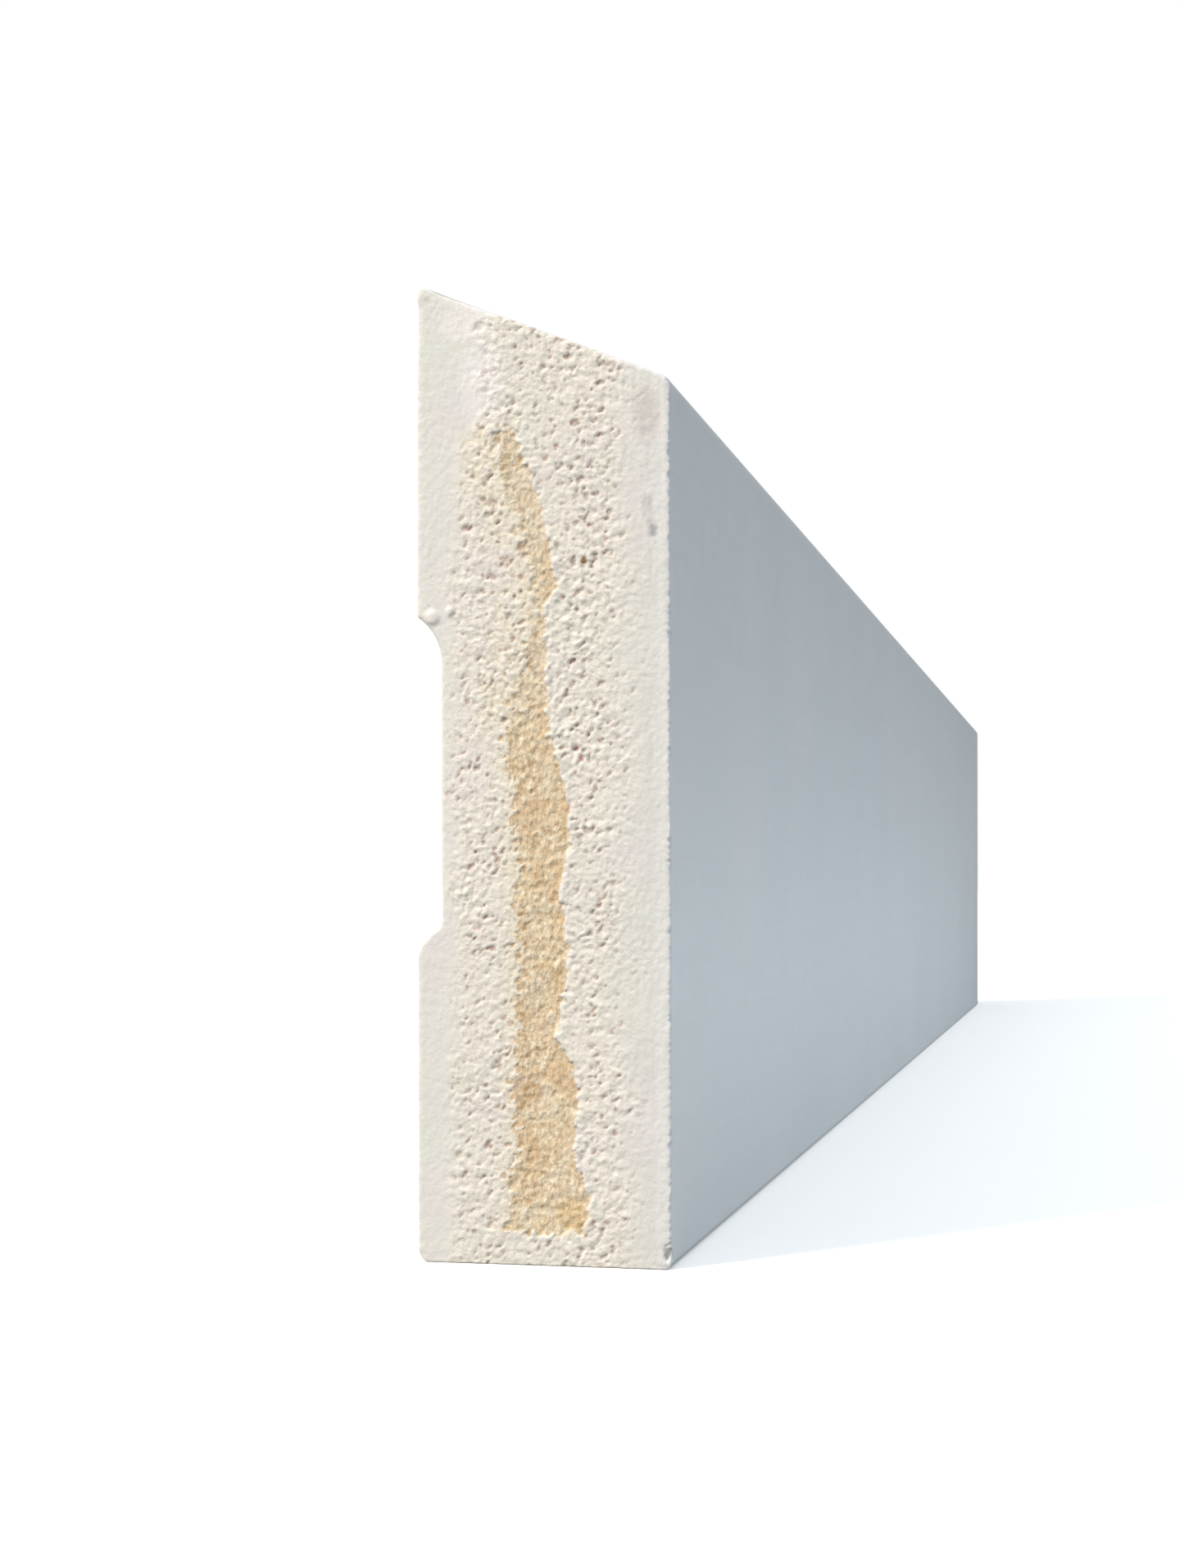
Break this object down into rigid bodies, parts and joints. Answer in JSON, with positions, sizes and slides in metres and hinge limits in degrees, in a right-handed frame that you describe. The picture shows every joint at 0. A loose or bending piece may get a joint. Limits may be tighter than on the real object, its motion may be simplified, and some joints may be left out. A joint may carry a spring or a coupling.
{
  "type": "architrave moulding",
  "caption": "Straight length of primed fibreboard architrave with a bevelled long edge, a square edge and a shallow relief groove along its back, for trimming round a door or window.",
  "frame": {"origin": "middle of the square edge that the moulding stands on, halfway along its length", "axes": "+X from the back to the show face, +Y along the length away from the rough sawn end in the picture, +Z across the width from the square edge to the bevelled edge"},
  "size_m": [0.018, 0.375, 0.068],
  "materials": {
    "primed_fibreboard": "matt white factory primer, slightly warm where it is brushed thinly over the rough sawn end, with a streak of bare brown fibreboard in the middle of that end"
  },
  "bodies": {
    "root": {"architrave": "primed_fibreboard"}
  },
  "joints": []
}
